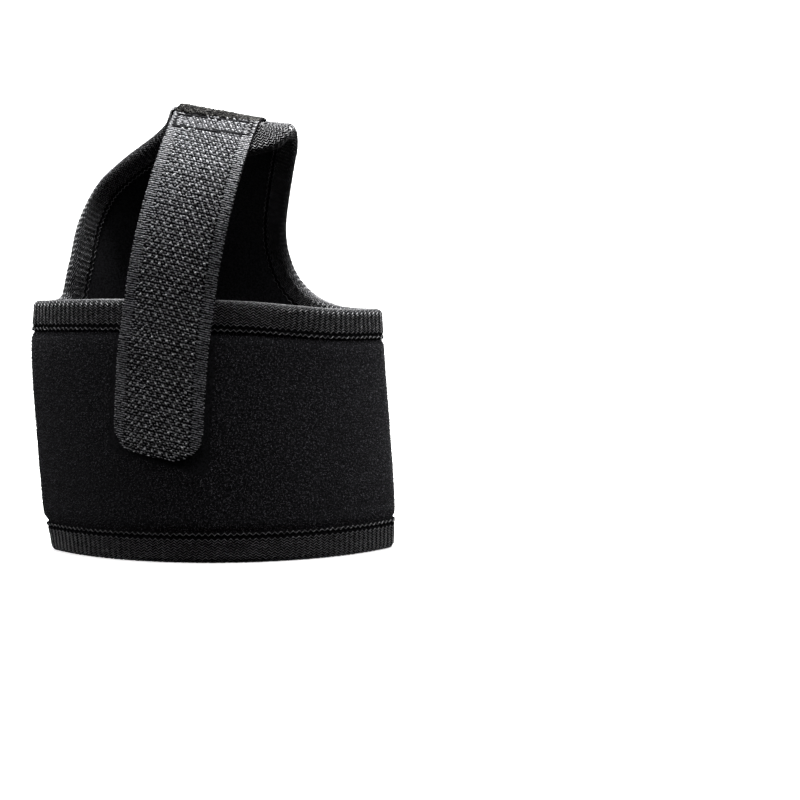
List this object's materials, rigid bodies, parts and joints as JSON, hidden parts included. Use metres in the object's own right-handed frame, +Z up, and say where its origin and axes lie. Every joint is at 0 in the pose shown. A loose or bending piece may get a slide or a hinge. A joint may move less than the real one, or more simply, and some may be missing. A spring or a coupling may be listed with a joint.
{
  "type": "compression wristband",
  "caption": "Black foam compression wristband with zigzag-bound edges, a thumb-side tongue folded forward, and a grey hook tape strap pressed on its front.",
  "frame": {"origin": "on the plane of the lower rim, under the middle of the whole bounding box", "axes": "+Z runs up along the wrist towards the hand, -Y is the front where the strap is pressed on, +X is to the right as seen from the front"},
  "size_m": [0.1004, 0.0574, 0.1232],
  "materials": {
    "loop_cloth": "dull black loop pile over foam",
    "zigzag_tape": "satin black binding tape in a zigzag weave",
    "hook_tape": "grey-black woven hook tape with glossy filament dots"
  },
  "bodies": {
    "root": {"wrist_band": "loop_cloth", "upper_binding": "zigzag_tape", "lower_binding": "zigzag_tape", "hook_strap": "hook_tape"}
  },
  "joints": []
}
